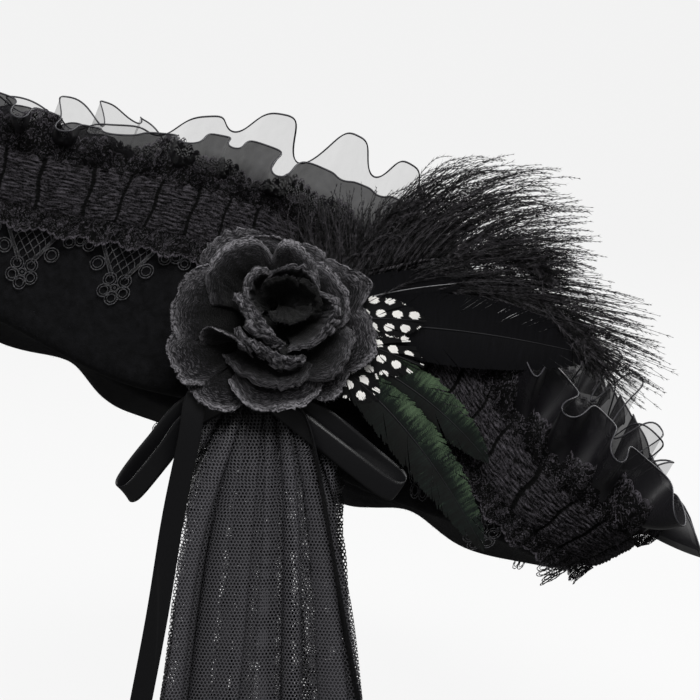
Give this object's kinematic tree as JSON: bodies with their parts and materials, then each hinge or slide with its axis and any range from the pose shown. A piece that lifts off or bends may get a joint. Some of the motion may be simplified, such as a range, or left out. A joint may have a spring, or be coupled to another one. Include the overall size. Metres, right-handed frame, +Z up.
{
  "type": "tricorn hat",
  "caption": "Felt tricorn hat with lace and sheer ruffles round the turned-up brim, a cloth rose with a feather spray at the side, a satin bow and a hanging tulle tail.",
  "frame": {"origin": "middle of the head opening, where the hat sits on the head", "axes": "+Z up as worn, with the hat tipped back by 27.5 degrees; the front corner points towards -Y and the wearer's left is +X"},
  "size_m": [0.4077, 0.3331, 0.3078],
  "materials": {
    "black_felt": "matt, slightly fuzzy wool felt",
    "corded_lace": "corded lace with a faint sheen",
    "ribbed_trim": "ribbed and gathered, soft sheen",
    "soft_lace": "fine matt lace",
    "organza": "sheer crisp organza with a rolled dark hem",
    "rose_cloth": "charcoal cloth petals with frayed edges",
    "black_feather": "smooth feather with a soft sheen",
    "green_feather": "dark feather with a green sheen",
    "spotted_feather": "black feather with round white dots",
    "ostrich_plume": "loose fluffy barbs",
    "tulle": "see-through hexagonal net in soft pleats",
    "satin": "smooth satin with long highlights"
  },
  "bodies": {
    "root": {"felt_body": "black_felt", "lace_edging": "corded_lace", "ribbed_band": "ribbed_trim", "lace_frill": "soft_lace", "front_ruffle": "organza", "back_ruffle": "organza", "spray_pad": "black_felt", "rose_outer_petals": "rose_cloth", "rose_middle_petals": "rose_cloth", "rose_inner_petals": "rose_cloth", "rose_bud": "rose_cloth", "black_feather_upper": "black_feather", "black_feather_lower": "black_feather", "green_feather_short": "green_feather", "green_feather_long": "green_feather", "spotted_feathers": "spotted_feather", "plume_upper": "ostrich_plume", "plume_lower": "ostrich_plume", "marabou": "ostrich_plume", "tulle_tail": "tulle", "ribbon_bow": "satin"}
  },
  "joints": []
}
